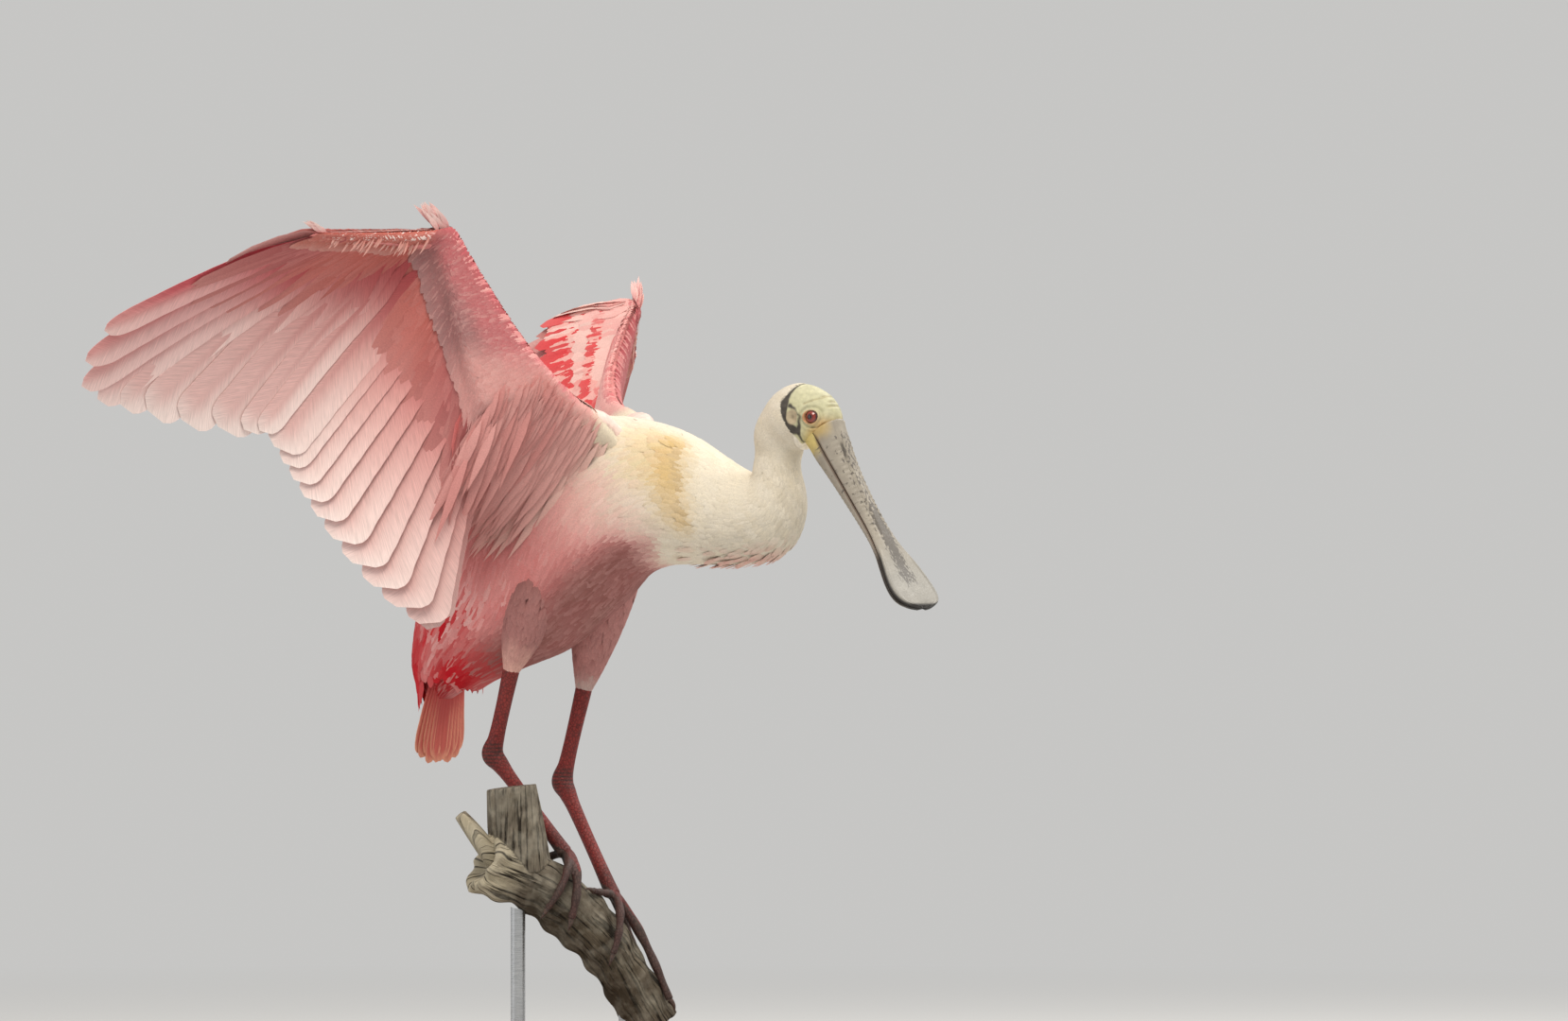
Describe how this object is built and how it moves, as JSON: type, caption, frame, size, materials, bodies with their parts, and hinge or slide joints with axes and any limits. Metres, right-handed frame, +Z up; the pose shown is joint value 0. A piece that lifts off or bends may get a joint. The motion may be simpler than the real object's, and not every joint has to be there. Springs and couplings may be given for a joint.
{
  "type": "roseate spoonbill display model",
  "caption": "Life-size standing wading bird with a long flat spoon-tipped bill and both wings held open, perched on a cut branch on a flat rod stand.",
  "frame": {"origin": "middle of the underside of the stand's flat base", "axes": "+X the way the bird faces, +Y its left, +Z up"},
  "size_m": [0.5789, 0.7821, 0.7078],
  "materials": {
    "plumage_pink": "soft contour feathers, rose pink, matt with a slight silky sheen",
    "plumage_cream": "short soft cream-white feathers, matt, stained buff at the lower neck",
    "plumage_carmine": "hair-like carmine feathers, silky",
    "flight_feathers": "stiff rose vanes with pale shafts and paler tips, faint barb grain",
    "tail_feathers": "stiff orange-buff vanes with pale edges",
    "head_skin": "bare greenish cream skin with black band and fine wrinkles, satin",
    "bill_horn": "grey-beige horn with dark mottling and fine ridges, satin",
    "eye": "wet red iris with round black pupil, glossy",
    "leg_skin": "dark rose-red scaled skin, brown at the joints, satin",
    "claw_horn": "dark brown horn, satin",
    "bark": "weathered grey dead wood with long cracks and remains of bark, rough",
    "base_wood": "oiled dark hardwood, satin, eased edges",
    "rod_steel": "brushed steel rod"
  },
  "bodies": {
    "root": {"belly": "plumage_pink", "bill_lower": "bill_horn", "bill_upper": "bill_horn", "breast": "plumage_pink", "claw_left_hind": "claw_horn", "claw_left_inner": "claw_horn", "claw_left_middle": "claw_horn", "claw_left_outer": "claw_horn", "claw_right_hind": "claw_horn", "claw_right_inner": "claw_horn", "claw_right_middle": "claw_horn", "claw_right_outer": "claw_horn", "eye_left": "eye", "eye_right": "eye", "foot_left": "leg_skin", "foot_right": "leg_skin", "head": "head_skin", "neck_base": "plumage_cream", "neck_bend": "plumage_cream", "neck_top": "plumage_cream", "perch": "bark", "rump": "plumage_carmine", "shank_left": "leg_skin", "shank_right": "leg_skin", "stand_base": "base_wood", "stand_rod_lower": "rod_steel", "stand_rod_upper": "rod_steel", "tail": "tail_feathers", "tarsus_left": "leg_skin", "tarsus_right": "leg_skin", "thigh_left": "plumage_pink", "thigh_right": "plumage_pink", "wing_left_alula": "plumage_pink", "wing_left_forearm": "plumage_pink", "wing_left_hand": "plumage_pink", "wing_left_primaries": "flight_feathers", "wing_left_secondaries": "flight_feathers", "wing_left_tertials": "flight_feathers", "wing_left_upper_arm": "plumage_pink", "wing_right_alula": "plumage_pink", "wing_right_forearm": "plumage_pink", "wing_right_hand": "plumage_pink", "wing_right_primaries": "flight_feathers", "wing_right_secondaries": "flight_feathers", "wing_right_tertials": "flight_feathers", "wing_right_upper_arm": "plumage_pink"}
  },
  "joints": []
}
